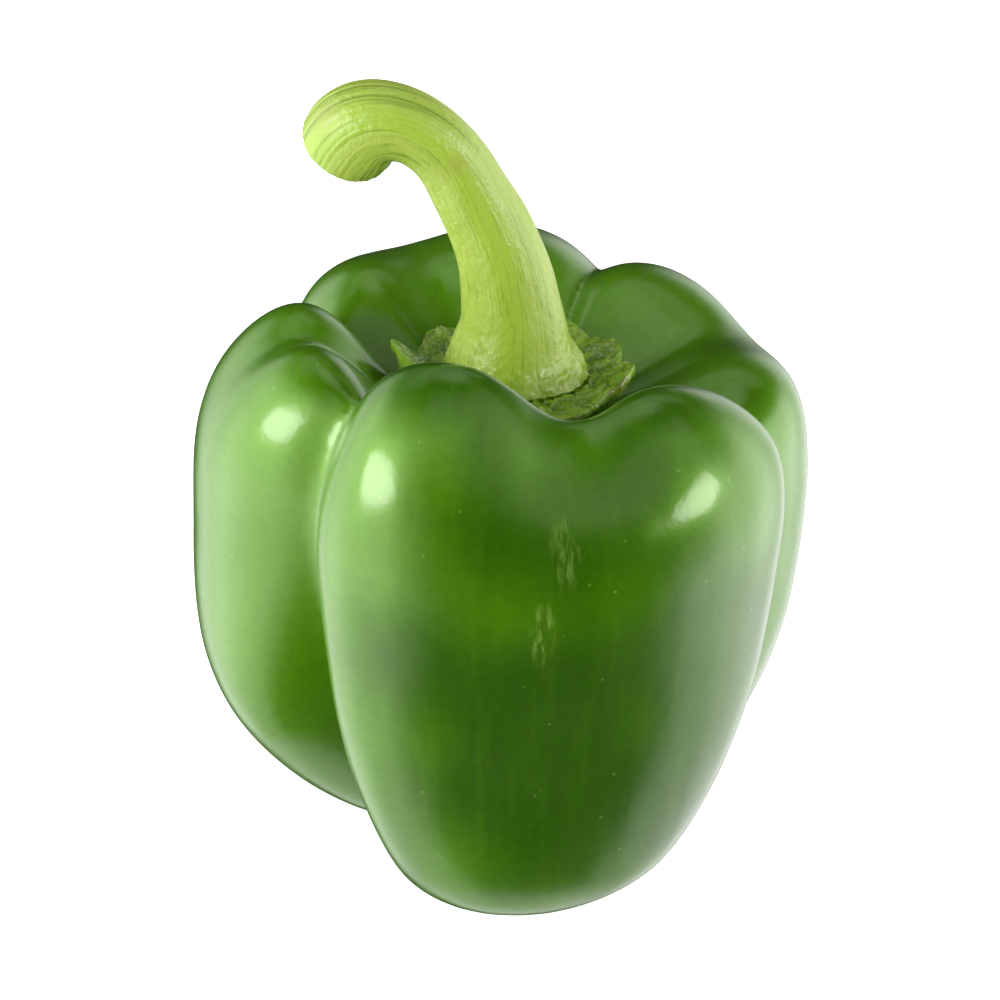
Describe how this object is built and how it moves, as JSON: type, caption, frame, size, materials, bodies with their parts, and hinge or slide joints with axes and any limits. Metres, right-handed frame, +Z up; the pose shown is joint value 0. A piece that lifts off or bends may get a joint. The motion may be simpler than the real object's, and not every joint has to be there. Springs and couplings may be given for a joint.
{
  "type": "bell pepper",
  "caption": "Fresh green bell pepper standing on its lobes, with a ribbed star-shaped calyx in the crown and a thick curved stem cut at the end.",
  "frame": {"origin": "on the surface that the pepper stands on, under the centre of its bounding box", "axes": "+Z up along the pepper's growing axis, -Y towards the broad front lobe, and -X the way in which the stem hooks over"},
  "size_m": [0.089, 0.0838, 0.116],
  "materials": {
    "fruit_skin": "glossy waxy skin, dark green",
    "calyx_green": "wrinkled, satin, mid green",
    "stem_green": "smooth ribbed, satin, light yellow-green"
  },
  "bodies": {
    "root": {"fruit": "fruit_skin", "calyx": "calyx_green", "stem": "stem_green"}
  },
  "joints": []
}
